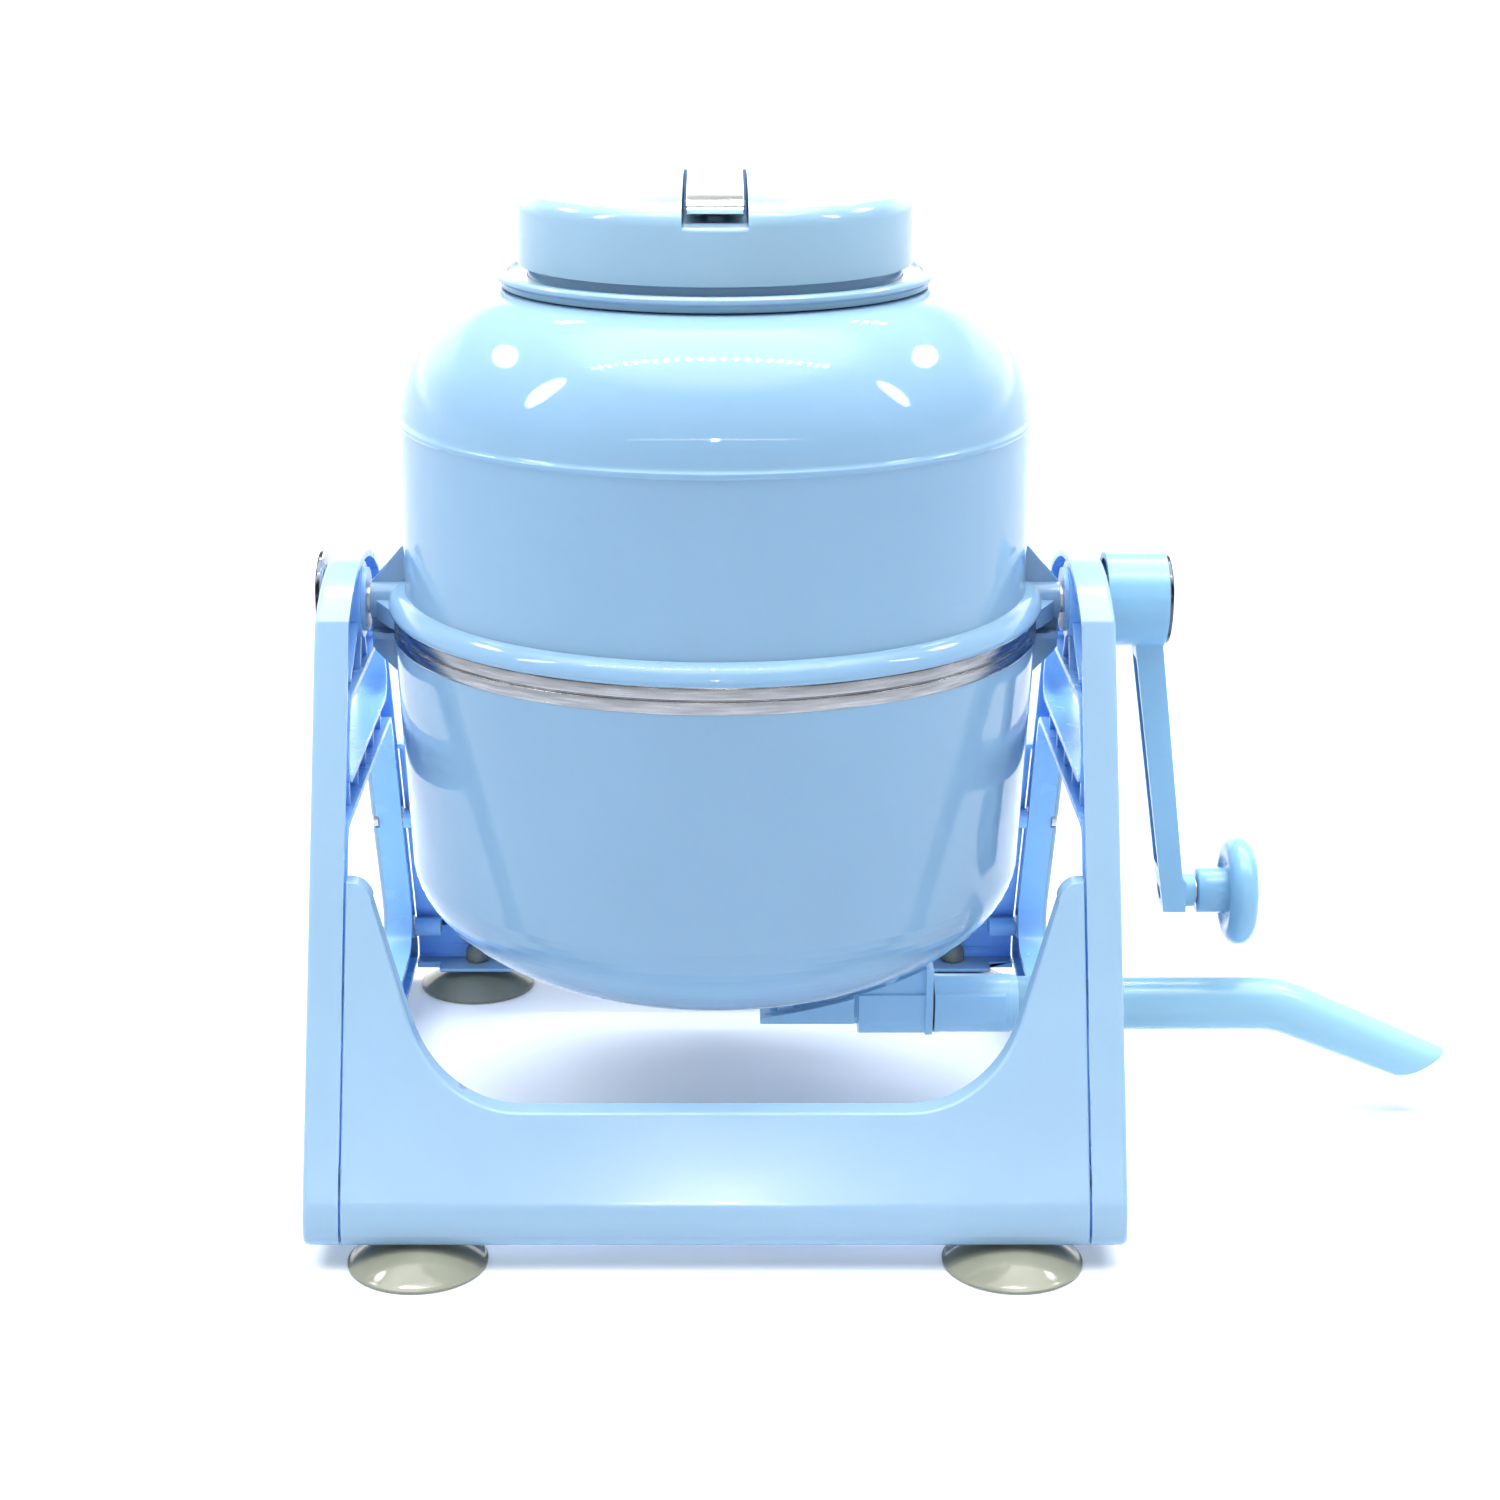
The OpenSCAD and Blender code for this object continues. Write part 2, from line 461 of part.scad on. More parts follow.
// Outline of the collar and the connector, as (y, z): upright sides on a round belly
module collar_outline(w, top, low) polygon(rounded([[-w, low], [w, low], [w, top], [-w, top]], [8.4, 8.4, 0, 0]));
module drain_shoe() color(sky) difference() {
  union() {
    // side flanges, with the floor between them
    along_y(-15, 15) polygon(concat([[19, 44.5]], [for (x = [19 : 6 : 55]) [x, flange_top(x)]], [[58.4, flange_top(58.4)], [58.4, 44.5]]));
    rod_x(42.2, 61.5, 8.8, 0, tube_z);
    along_y(-11, 11) polygon([[56, 46], [56, flange_top(56)], [62, flange_top(62)], [62, 46]]);
    // collar round the outlet, and its upper block
    along_x(60.5, shoe_end - 2) collar_outline(13.2, 56.6, 36.9);
    along_y(-12.1, 12.1) polygon([[60.5, 50], [60.5, flange_top(60.5)], [66, flange_top(66)], [76, flange_top(76)], [shoe_end - 2, flange_top(shoe_end - 2)], [shoe_end - 2, 50]]);
    // outlet flange
    along_x(shoe_end - 3, shoe_end) collar_outline(13.9, 68.4, 36.3);
    // core that reaches the tub
    difference() {
      union() {
        along_y(-6.5, 6.5) polygon([[23, 46], [23, 82], [88, 100], [88, 46]]);
        translate([valve_x, 0, 46]) cylinder(h = 50, r = 10.6);
      }
      rotate_extrude($fn = 180) polygon(concat([[0, 160], [waist_r, 160]], [for (i = [0 : 30]) tub_bottom(-0.02)[i]]));
    }
    for (p = shoe_screw_at) intersection() {
      translate([p[0], p[1], 46]) cylinder(h = 50, r = 4, $fn = 48);
      translate([0, -20, 40]) cube([200, 40, tub_out(p[0] - 4) - 40.3]);
    }
  }
  // outlet passage and the riser below the valve
  rod_x(45, shoe_end + 1, 7, 0, tube_z);
  rod_x(62.4, shoe_end + 1, tube_bore, 0, tube_z);
  translate([valve_x, 0, tube_z]) cylinder(h = 60, r = 8);
  // the flanges stand clear of the core
  for (m = [-1, 1]) along_y(m > 0 ? 10.8 : -12.9, m > 0 ? 12.9 : -10.8) polygon(concat([[21, 47]], [for (x = [21 : 6 : 57]) [x, flange_top(x) + 1]], [[57, 47]]));
  for (p = shoe_screw_at) translate([p[0], p[1], tub_out(p[0]) - 9]) cylinder(h = 60, r = 1.6, $fn = 32);
}
module shoe_screws() color(steel) for (p = shoe_screw_at) {
  translate([p[0], p[1], tub_out(p[0]) - 8]) cylinder(h = tub_out(norm(p) + 3.2) - tub_out(p[0]) + 12, r = 1.6, $fn = 32);
  translate([p[0], p[1], tub_out(norm(p) + 3.2) + 2.9]) cylinder(h = 2, r = 3.2, $fn = 48);
}
module drain_strainer() color(chrome) translate([valve_x, 0, seat_z]) difference() {
  rotate_extrude($fn = 96) polygon([[11.2, 0], [13, 0], [13, 6], [12, 9.6], [9, 11.4], [0, 12], [0, 10.6], [8.6, 10.1], [10.6, 8.8], [11.2, 6]]);
  for (g = [0 : 45 : 315]) rotate([0, 0, g]) translate([6.6, 0, 5]) cylinder(h = 10, r = 1.3, $fn = 24);
  for (g = [22.5 : 45 : 337.5]) rotate([0, 0, g]) translate([0, -1.4, 1.4]) cube([20, 2.8, 4.4]);
}
module valve_plunger() color("white") translate([valve_x, 0, 0]) {
  translate([0, 0, tube_z - 3]) cylinder(h = seat_z - tube_z + 4.4, r = stem_r, $fn = 48);
  translate([0, 0, tube_z - 3]) cylinder(h = 2, r = 5.4, $fn = 48);
  translate([0, 0, seat_z + 1.4]) cylinder(h = 2, r = 9.6, $fn = 64);
}
module valve_seal() color(rubber_col) translate([valve_x, 0, 0]) difference() {
  translate([0, 0, seat_z + 0.2]) cylinder(h = 1.2, r = 9.6, $fn = 64);
  cylinder(h = 200, r = 6.9, $fn = 64);
}
spring_lo = tube_z - 0.9;
spring_hi = tub_out(valve_x) - 2.2;
spring_turns = 5;
wire_r = 0.5;
function coil_at(i) = let (g = 360 * spring_turns * i / 70) [valve_x + 4.3 * cos(g), 4.3 * sin(g), spring_lo + wire_r + (spring_hi - spring_lo - 2 * wire_r) * i / 70];
module valve_spring() color(steel) polyhedron(
  points = [for (i = [0 : 70]) let (g = 360 * spring_turns * i / 70, c = coil_at(i)) for (k = [0 : 7]) c + wire_r * [cos(45 * k) * cos(g), cos(45 * k) * sin(g), sin(45 * k)]],
  faces = concat([[for (k = [0 : 7]) k]], [[for (k = [7 : -1 : 0]) 70 * 8 + k]],
    [for (i = [0 : 69]) for (k = [0 : 7]) [i * 8 + k, i * 8 + (k + 1) % 8 , (i + 1) * 8 + (k + 1) % 8, (i + 1) * 8 + k]]), convexity = 10);

// ---------- lid ----------
lid_cap_r = 340;
module lid_body(d) rotate_extrude($fn = 180) polygon(concat(
  [[0, lid_lo - 20], [lid_r - d, lid_lo - 20]],
  arc([lid_r - 7, 383], 7 - d, 0, 66, 8),
  [for (i = [0 : 10]) let (r = 66 * (1 - i / 10)) [r, lid_top - d - r * r / (2 * lid_cap_r)]]));
module lid_shell() color(sky) difference() {
  union() {
    difference() {
      lid_body(0);
      difference() {
        lid_body(wall);
        // shelf that rests on the neck
        translate([0, 0, neck_top + 0.3]) ring(62, 80, 0, 2.2);
        // trough round the lever
        translate([-chan_w / 2 - 2.4, -80, pocket_z - 2.6]) cube([chan_w + 4.8, 95, 30]);
        // posts for the underplate's screws
        for (g = [0, 60, 120, 180, 240, 300]) rotate([0, 0, g]) translate([46, 0, neck_top + 0.5]) cylinder(h = 12, r = 4.2, $fn = 48);
      }
      translate([0, 0, lid_lo - 60]) cylinder(h = 60, r = 200);
    }
  }
  // channel of the lever, open at the front
  translate([-chan_w / 2, -90, chan_z]) cube([chan_w, 78.5, 30]);
  translate([-chan_w / 2, -12, pocket_z]) cube([chan_w, 24.5, 30]);
  // passage of the clamp stud
  translate([0, 0, 300]) cylinder(h = 100, r = 6.4);
  for (g = [0, 60, 120, 180, 240, 300]) rotate([0, 0, g]) translate([46, 0, 370]) cylinder(h = 16, r = 1.6, $fn = 32);
}
module lid_underplate() color(sky_dark) difference() {
  rotate_extrude($fn = 180) polygon([[6.4, pocket_z - 2.65], [6.4, 374.6], [62, 374.6], [69, 374.6], [69.3, 375], [69.3, neck_top - 0.2], [61.8, neck_top - 0.2], [61.8, pocket_z - 2.65]]);
  for (g = [0, 60, 120, 180, 240, 300]) rotate([0, 0, g]) translate([46, 0, 370]) {
    cylinder(h = 16, r = 1.9, $fn = 32);
    cylinder(h = 6.6, r = 3.6, $fn = 48);
  }
}
module underplate_screws() color(steel) for (g = [0, 60, 120, 180, 240, 300]) rotate([0, 0, g]) translate([46, 0, 0]) {
  translate([0, 0, 375]) cylinder(h = 10, r = 1.6, $fn = 32);
  translate([0, 0, 374.8]) cylinder(h = 1.7, r = 3.4, $fn = 48);
}
module pressure_plate() color(sky_dark) difference() {
  rotate_extrude($fn = 180) polygon([[4, 362], [9, 362], [9.6, 364.4], [60, 364.4], [68.4, 366], [68.8, 366.6], [68.8, 369.4], [63.6, 369.4], [63.6, 373.8], [61.6, 373.8], [61.6, 367.6], [12, 367], [11, 373.6], [4, 373.6]]);
}
module lid_gasket() color(rubber_col) rotate_extrude($fn = 180) polygon([[63.65, 369.45], [68.9, 369.45], [69.6, 370.6], [69.6, 373], [68.9, 374.2], [63.65, 374.2]]);
module clamp_stud() color(steel) difference() {
  union() {
    translate([0, 0, 357.2]) cylinder(h = 32, r = 3.95, $fn = 64);
    intersection() {
      rod_x(-5.4, 5.4, 5.4, 0, pin_z);
      translate([0, 0, 300]) cylinder(h = 100, r = 6.1);
    }
    translate([0, 0, 379]) cylinder(h = 5.4, r = 5.2, $fn = 64);
  }
  rod_x(-10, 10, 2.0, 0, pin_z, 48);
}
module stud_nut() color(steel) difference() {
  translate([0, 0, 357.9]) cylinder(h = 4, r = 7.5, $fn = 6);
  translate([0, 0, 350]) cylinder(h = 20, r = 3.97, $fn = 64);
}
module lever_pin() color(steel) rod_x(-lever_w / 2 + 0.2, lever_w / 2 - 0.2, 1.99, 0, pin_z, 48);
// Side view of the lever, as (y, z); the cam is a spiral so that the plate's travel follows the lever's angle
function lever_top(y) = lid_top + 0.5 - y * y / (2 * lid_cap_r);
module lever_side() polygon(concat(
  [for (i = [0 : 10]) let (y = 2.2 - 61 * i / 10) [y, lever_top(y)]],
  [[-60.6, 390.6], [-62, 389.6], [-62.4, 388], [-61.6, 386.4], [-60, 385.8], [-58.6, 386.4], [-57.8, 387.6], [-56, 388.2]],
  [for (i = [1 : 8]) let (y = -56 + 44 * i / 8) [y, lever_top(y) - 3.2]],
  [[-10, pin_z - 0.6]],
  [for (i = [0 : 5]) let (g = 235 + 35 * i / 5) [cam_shut * cos(g), pin_z + cam_shut * sin(g)]],
  [for (i = [1 : 12]) let (g = 90 * i / 12, r = cam_shut - plate_drop * g / 90) [r * sin(g), pin_z - r * cos(g)]],
  [[cam_open, pin_z + 3], [3.6, pin_z + 7]]));
module lid_lever() color(chrome) difference() {
  along_x(-lever_w / 2, lever_w / 2) lever_side();
  // slot for the stud's eye
  translate([-5.8, -10.5, pin_z - 12]) cube([11.6, 20, 18.2]);
  rod_x(-20, 20, 2.05, 0, pin_z, 48);
}

// ---------- drain tube ----------
module tube_connector() color(sky) difference() {
  union() {
    rod_x(92.6, 125, con_r, 0, tube_z);
    along_x(92.6, 122.6) collar_outline(con_r + 0.2, 56, 37.2);
    along_x(92.6, 95) collar_outline(con_r + 0.4, 56.4, 36.9);
    rod_x(125, 128, 12.1, 0, tube_z);
  }
  rod_x(90, 112, tube_bore, 0, tube_z);
  rod_x(112, 130, tube_r, 0, tube_z);
  // groove of the face seal
  difference() { rod_x(92, 93.8, 11.8, 0, tube_z); rod_x(91, 94, 10, 0, tube_z); }
}
module tube_seal() color(rubber_col) difference() {
  rod_x(92.15, 93.8, 11.75, 0, tube_z);
  rod_x(91, 95, 10.05, 0, tube_z);
}
bend_end = [bend_x + bend_r * sin(tube_turn), tube_z - bend_r * (1 - cos(tube_turn))];
elbow_r = tube_r + 0.12;       // the elbow is a touch stouter than the runs it joins
elbow_bore = tube_bore - 0.12;
module drain_tube() color(sky) {
  // straight run
  difference() {
    rod_x(112, bend_x + 0.3, tube_r, 0, tube_z);
    rod_x(111, bend_x + 1, tube_bore, 0, tube_z);
  }
  // elbow
  translate([bend_x, 0, tube_z - bend_r]) rotate([90, 0, 0]) rotate([0, 0, 90 - tube_turn])
    rotate_extrude(angle = tube_turn, $fn = 180) translate([bend_r, 0]) difference() {
      circle(r = elbow_r, $fn = 96);
      circle(r = elbow_bore, $fn = 96);
    }
  // tapering spout with a slanting mouth
  difference() {
    translate([bend_end[0], 0, bend_end[1]]) rotate([0, 90 + tube_turn, 0]) translate([0, 0, -0.3]) difference() {
      cylinder(h = 90, r1 = tube_r, r2 = 9.0, $fn = 96);
      translate([0, 0, -0.01]) cylinder(h = 91, r1 = tube_bore, r2 = 7.2, $fn = 96);
    }
    translate([314.4, -50, 28.5]) rotate([0, -29.4, 0]) translate([-200, 0, -200]) cube([400, 100, 200]);
  }
}

left_side_frame();
right_side_frame();
front_panel();
rear_panel();
panel_screws();
left_bush();
right_bush();
foot_front_left();
foot_front_right();
foot_rear_left();
foot_rear_right();
lower_tub();
upper_shell();
tub_seal();
trunnion_ring();
band_trim();
neck_ring();
left_trunnion();
left_end_cap();
left_axle_screw();
right_trunnion();
crank_arm();
crank_screw();
crank_cap();
knob_spindle();
crank_knob();
knob_cap();
drain_shoe();
shoe_screws();
drain_strainer();
valve_plunger();
valve_seal();
valve_spring();
lid_shell();
lid_underplate();
underplate_screws();
pressure_plate();
lid_gasket();
clamp_stud();
stud_nut();
lever_pin();
lid_lever();
tube_connector();
tube_seal();
drain_tube();
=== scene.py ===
import json
import math
import bmesh
import bpy
from mathutils import Vector, Matrix


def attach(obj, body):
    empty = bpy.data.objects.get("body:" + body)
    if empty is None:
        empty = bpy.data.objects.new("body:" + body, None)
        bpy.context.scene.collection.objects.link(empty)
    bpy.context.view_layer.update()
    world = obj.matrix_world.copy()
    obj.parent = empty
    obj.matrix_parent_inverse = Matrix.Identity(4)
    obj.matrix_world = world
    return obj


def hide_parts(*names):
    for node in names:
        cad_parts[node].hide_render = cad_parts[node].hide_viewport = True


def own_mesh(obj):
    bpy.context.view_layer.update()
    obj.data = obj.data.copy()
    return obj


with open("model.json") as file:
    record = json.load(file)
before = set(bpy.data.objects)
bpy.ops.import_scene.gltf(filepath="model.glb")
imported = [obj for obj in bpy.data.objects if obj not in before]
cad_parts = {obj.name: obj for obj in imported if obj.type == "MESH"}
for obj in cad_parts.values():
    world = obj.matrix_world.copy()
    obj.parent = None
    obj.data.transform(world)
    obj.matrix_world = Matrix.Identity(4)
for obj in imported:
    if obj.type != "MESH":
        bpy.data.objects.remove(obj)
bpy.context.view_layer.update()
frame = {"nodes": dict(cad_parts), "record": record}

NODES = frame["nodes"]
BODY = {n: b for b, ns in frame["record"]["behaviour"]["bodies"].items() for n in ns}
MM = 0.001
scene = bpy.context.scene


# ------------------------------------------------------------------ materials
def tree(name):
    m = bpy.data.materials.new(name)
    m.use_nodes = True
    nt = m.node_tree
    bsdf = next(n for n in nt.nodes if n.type == "BSDF_PRINCIPLED")
    return m, nt, bsdf


def add(nt, kind, **props):
    n = nt.nodes.new(kind)
    for k, v in props.items():
        setattr(n, k, v)
    return n


def mottled(nt, bsdf, base, spread, scale, seed=0.0, aspect=(1, 1, 1)):
    """Base colour with a faint cloudy variation, as pigmented moulding has."""
    tc = add(nt, "ShaderNodeTexCoord")
    mp = add(nt, "ShaderNodeMapping")
    mp.inputs["Location"].default_value = (seed, seed * 0.7, seed * 1.3)
    mp.inputs["Scale"].default_value = aspect
    nt.links.new(tc.outputs["Object"], mp.inputs["Vector"])
    nz = add(nt, "ShaderNodeTexNoise")
    nz.inputs["Scale"].default_value = scale
    nz.inputs["Detail"].default_value = 3
    nz.inputs["Roughness"].default_value = 0.5
    nt.links.new(mp.outputs["Vector"], nz.inputs["Vector"])
    ramp = add(nt, "ShaderNodeValToRGB")
    ramp.color_ramp.elements[0].position = 0.35
    ramp.color_ramp.elements[1].position = 0.68
    lo = [c * (1 - spread) for c in base]
    hi = [min(1.0, c * (1 + spread)) for c in base]
    ramp.color_ramp.elements[0].color = (*lo, 1)
    ramp.color_ramp.elements[1].color = (*hi, 1)
    nt.links.new(nz.outputs["Fac"], ramp.inputs["Fac"])
    nt.links.new(ramp.outputs["Color"], bsdf.inputs["Base Color"])
    return mp


def rough_noise(nt, bsdf, mp, lo, hi, scale):
    nz = add(nt, "ShaderNodeTexNoise")
    nz.inputs["Scale"].default_value = scale
    nz.inputs["Detail"].default_value = 4
    nt.links.new(mp.outputs["Vector"], nz.inputs["Vector"])
    mr = add(nt, "ShaderNodeMapRange")
    mr.inputs["From Min"].default_value = 0.3
    mr.inputs["From Max"].default_value = 0.7
    mr.inputs["To Min"].default_value = lo
    mr.inputs["To Max"].default_value = hi
    nt.links.new(nz.outputs["Fac"], mr.inputs["Value"])
    nt.links.new(mr.outputs["Result"], bsdf.inputs["Roughness"])


def bumps(nt, bsdf, mp, layers):
    """layers: (scale, strength, distance) each; small ones first."""
    last = None
    for scale, strength, dist in layers:
        nz = add(nt, "ShaderNodeTexNoise")
        nz.inputs["Scale"].default_value = scale
        nz.inputs["Detail"].default_value = 2
        nt.links.new(mp.outputs["Vector"], nz.inputs["Vector"])
        b = add(nt, "ShaderNodeBump")
        b.inputs["Strength"].default_value = strength
        b.inputs["Distance"].default_value = dist
        nt.links.new(nz.outputs["Fac"], b.inputs["Height"])
        if last is not None:
            nt.links.new(last.outputs["Normal"], b.inputs["Normal"])
        last = b
    nt.links.new(last.outputs["Normal"], bsdf.inputs["Normal"])


def plastic(name, base, lo=0.09, hi=0.14, spread=0.03, seed=0.0, wave=0.25, orange=0.04, coat=0.0, sink=0.25, ior=1.4):
    """Pigmented glossy moulding: cloudy pigment, orange peel, long sink waves, and light that enters it a little."""
    m, nt, b = tree(name)
    mp = mottled(nt, b, base, spread, 9.0, seed)
    rough_noise(nt, b, mp, lo, hi, 60.0)
    bumps(nt, b, mp, [(420.0, orange, 0.0001), (16.0, wave, 0.0005)])
    b.inputs["IOR"].default_value = ior
    b.inputs["Coat Weight"].default_value = coat
    b.inputs["Coat Roughness"].default_value = 0.03
    b.inputs["Subsurface Weight"].default_value = sink
    b.inputs["Subsurface Radius"].default_value = (0.35, 0.6, 1.0)
    b.inputs["Subsurface Scale"].default_value = 0.005
    return m


def metal(name, base, lo, hi, aspect=(1, 1, 1), streak=300.0, bump=0.12, spread=0.1, seed=0.0):
    m, nt, b = tree(name)
    mp = mottled(nt, b, base, spread, streak, seed, aspect)
    rough_noise(nt, b, mp, lo, hi, streak)
    bumps(nt, b, mp, [(streak * 2, bump, 0.00006)])
    b.inputs["Metallic"].default_value = 1.0
    return m


MAT = {
    "drum": plastic("drum_plastic", (0.205, 0.345, 0.495), 0.045, 0.07, seed=1.0, ior=1.35),
    "stand": plastic("stand_plastic", (0.25, 0.39, 0.53), 0.12, 0.18, seed=4.0, wave=0.3),
    "crank": plastic("crank_plastic", (0.20, 0.40, 0.585), 0.16, 0.24, seed=7.0, orange=0.08),
    "lid": plastic("lid_plastic", (0.232, 0.37, 0.485), 0.07, 0.11, seed=9.0, ior=1.4),
    "tube": plastic("tube_plastic", (0.27, 0.485, 0.635), 0.14, 0.22, seed=12.0, orange=0.07),
    # painted light: the shoe and connector get a much lighter blue than the other mouldings, lifting the shade under
    # the drum
    "shoe": plastic("shoe_painted_fill_plastic", (0.42, 0.70, 0.94), 0.16, 0.24, seed=13.0, orange=0.07),
    # painted shade: a brighter, more saturated blue for the faces inside the stand's mouldings, standing for the deep
    # bounced blue of their shadow
    "hollow": plastic("hollow_plastic", (0.29, 0.56, 1.0), 0.2, 0.3, seed=19.0),
    # painted shade: dark navy for the side walls of the lid's lever channel, standing for the shade in that recess
    "painted_channel_shade": plastic("shaded_plastic", (0.06, 0.13, 0.34), 0.3, 0.4, seed=21.0, coat=0.0, sink=0.0),
    "inner": plastic("inner_plastic", (0.27, 0.48, 0.77), 0.25, 0.35, seed=15.0, coat=0.0),
    "white": plastic("white_plastic", (0.82, 0.83, 0.82), 0.3, 0.42, seed=17.0, coat=0.0, sink=0.1),
    "steel": metal("screw_steel", (0.55, 0.55, 0.56), 0.25, 0.4, seed=2.0),
    "band": metal("band_steel", (0.31, 0.31, 0.32), 0.16, 0.3, aspect=(1, 1, 14), streak=60.0, bump=0.1, spread=0.22, seed=3.0),
    "chrome": metal("bright_plate", (0.86, 0.87, 0.9), 0.04, 0.1, streak=160.0, bump=0.03, spread=0.03, seed=5.0),
    # painted shade and reflection: near-black metal standing for the dark the chrome end caps reflect at their rims,
    # and for the shade on the lever's sides
    "dark": metal("painted_shade_and_dark_reflection_plate", (0.075, 0.08, 0.10), 0.12, 0.2, streak=160.0, bump=0.03, spread=0.1, seed=8.0),
    "lever": metal("lever_plate", (0.9, 0.92, 0.95), 0.1, 0.17, aspect=(1, 8, 1), streak=90.0, bump=0.05, spread=0.03, seed=6.0),
}


def rubber(name, base):
    m, nt, b = tree(name)
    mp = mottled(nt, b, base, 0.12, 90.0, 2.2)
    rough_noise(nt, b, mp, 0.5, 0.7, 120.0)
    bumps(nt, b, mp, [(900.0, 0.2, 0.0001)])
    return m


MAT["rubber"] = rubber("dark_rubber", (0.035, 0.04, 0.055))


def vinyl(name, base):
    m, nt, b = tree(name)
    mp = mottled(nt, b, base, 0.1, 40.0, 3.3)
    rough_noise(nt, b, mp, 0.06, 0.12, 70.0)
    bumps(nt, b, mp, [(500.0, 0.05, 0.0001), (60.0, 0.25, 0.0006)])
    b.inputs["IOR"].default_value = 1.4
    b.inputs["Transmission Weight"].default_value = 0.4
    return m


MAT["vinyl"] = vinyl("cup_vinyl", (0.31, 0.325, 0.255))


# ------------------------------------------------------------------ modelling
def new_object(name, bm, mat, smooth=38.0, weighted=False):
    me = bpy.data.meshes.new(name)
    bmesh.ops.recalc_face_normals(bm, faces=bm.faces)
    bm.normal_update()
    lim = math.radians(smooth)
    for f in bm.faces:
        f.smooth = True
    for e in bm.edges:
        e.smooth = not (len(e.link_faces) != 2 or e.calc_face_angle(0.0) > lim)
    bm.to_mesh(me)
    bm.free()
    if "custom_normal" in me.attributes:
        me.attributes.remove(me.attributes["custom_normal"])
    me.materials.append(mat)
    ob = bpy.data.objects.new(name, me)
    scene.collection.objects.link(ob)
    if weighted:
        w = ob.modifiers.new("face_weights", "WEIGHTED_NORMAL")
        w.keep_sharp = True
        w.weight = 50
    return ob


def stand_for(ob, *nodes):
    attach(ob, BODY[nodes[0]])
    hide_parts(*nodes)
    return ob


def eased(node, mat, width=0.5, segs=3, angle=30.0, name=None, rim=None, rim_width=1.0):
    """A node's own shape with its coplanar facets joined and its edges rounded, as a moulding has them.
    rim picks the outline edges that get a rounding of their own, from an edge's middle and its two normals."""
    bm = bmesh.new()
    bm.from_mesh(NODES[node].data)
    bmesh.ops.remove_doubles(bm, verts=bm.verts, dist=2e-6)
    bmesh.ops.dissolve_limit(bm, angle_limit=math.radians(0.25), use_dissolve_boundaries=False, verts=bm.verts, edges=bm.edges)
    bmesh.ops.dissolve_degenerate(bm, dist=1e-6, edges=bm.edges)
    bm.normal_update()
    lim = math.radians(angle)
    sharp = [e for e in bm.edges if len(e.link_faces) == 2 and e.calc_face_angle(0.0) > lim]
    done = set()
    if rim:
        first = [e for e in sharp if rim((e.verts[0].co + e.verts[1].co) / (2 * MM), e.link_faces[0].normal, e.link_faces[1].normal)]
        res = bmesh.ops.bevel(bm, geom=first, offset=rim_width * MM, offset_type="OFFSET", segments=5, profile=0.5,
                              affect="EDGES", clamp_overlap=False)
        done = set(res["verts"])
        bm.normal_update()
    edges = [e for e in bm.edges if len(e.link_faces) == 2 and e.calc_face_angle(0.0) > lim
             and not (e.verts[0] in done or e.verts[1] in done)]
    if width and edges:
        bmesh.ops.bevel(bm, geom=edges, offset=width * MM, offset_type="OFFSET", segments=segs, profile=0.5,
                        affect="EDGES", clamp_overlap=True)
    ob = new_object(name or node + "_part", bm, mat, 40.0, weighted=True)
    return stand_for(ob, node)


def fillet(pts, radius, n=4, closed=True, min_turn=28.0):
    """Rounds the corners of an outline that turn by more than min_turn degrees."""
    out = []
    count = len(pts)
    for i, p in enumerate(pts):
        b = Vector(p)
        if not closed and i in (0, count - 1):
            out.append(tuple(b))
            continue
        a, c = Vector(pts[i - 1]), Vector(pts[(i + 1) % count])
        u, v = a - b, c - b
        if u.length < 1e-6 or v.length < 1e-6:
            out.append(tuple(b))
            continue
        turn = 180 - math.degrees(u.angle(v))
        if turn < min_turn or (abs(b.x) < 1e-6):
            out.append(tuple(b))
            continue
        half = u.angle(v) / 2
        t = min(radius / math.tan(half), 0.45 * u.length, 0.45 * v.length)
        r = t * math.tan(half)
        p0, p1 = b + u.normalized() * t, b + v.normalized() * t
        o = b + (u.normalized() + v.normalized()).normalized() * (r / math.sin(half))
        a0 = math.atan2(p0.y - o.y, p0.x - o.x)
        a1 = math.atan2(p1.y - o.y, p1.x - o.x)
        d = (a1 - a0 + math.pi) % (2 * math.pi) - math.pi
        out += [(o.x + r * math.cos(a0 + d * k / n), o.y + r * math.sin(a0 + d * k / n)) for k in range(n + 1)]
    return out


def lathe(bm, prof, seg=160, place=None, shape=None):
    """Turns a closed (r, h) outline in mm round Z. place maps a point in mm to its place in mm."""
    rings = []
    for r, h in prof:
        if r < 1e-6:
            pts = [(0.0, 0.0, h)]
        else:
            pts = [(r * math.cos(2 * math.pi * k / seg), r * math.sin(2 * math.pi * k / seg), h) for k in range(seg)]
        if shape:
            pts = [shape(p) for p in pts]
        if place:
            pts = [place(p) for p in pts]
        rings.append([bm.verts.new(Vector(p) * MM) for p in pts])
    n = len(rings)
    for i in range(n):
        a, b = rings[i], rings[(i + 1) % n]
        if len(a) == 1 and len(b) == 1:
            continue
        for k in range(seg):
            k1 = (k + 1) % seg
            if len(a) == 1:
                bm.faces.new((a[0], b[k], b[k1]))
            elif len(b) == 1:
                bm.faces.new((a[k], b[0], a[k1]))
            else:
                bm.faces.new((a[k], b[k], b[k1], a[k1]))


def along_x(x0, y=0.0, z=225.0, sign=1):
    """Lathe placement: the outline's height runs along X from x0."""
    return lambda p: (x0 + sign * p[2], y + p[0], z + p[1])


def superq(cx, cz, a, b, e, up, n):
    return [(cx + a * max(0.0, math.cos(math.radians(90 * i / n))) ** (2 / e),
             cz + up * b * math.sin(math.radians(90 * i / n)) ** (2 / e)) for i in range(n + 1)]


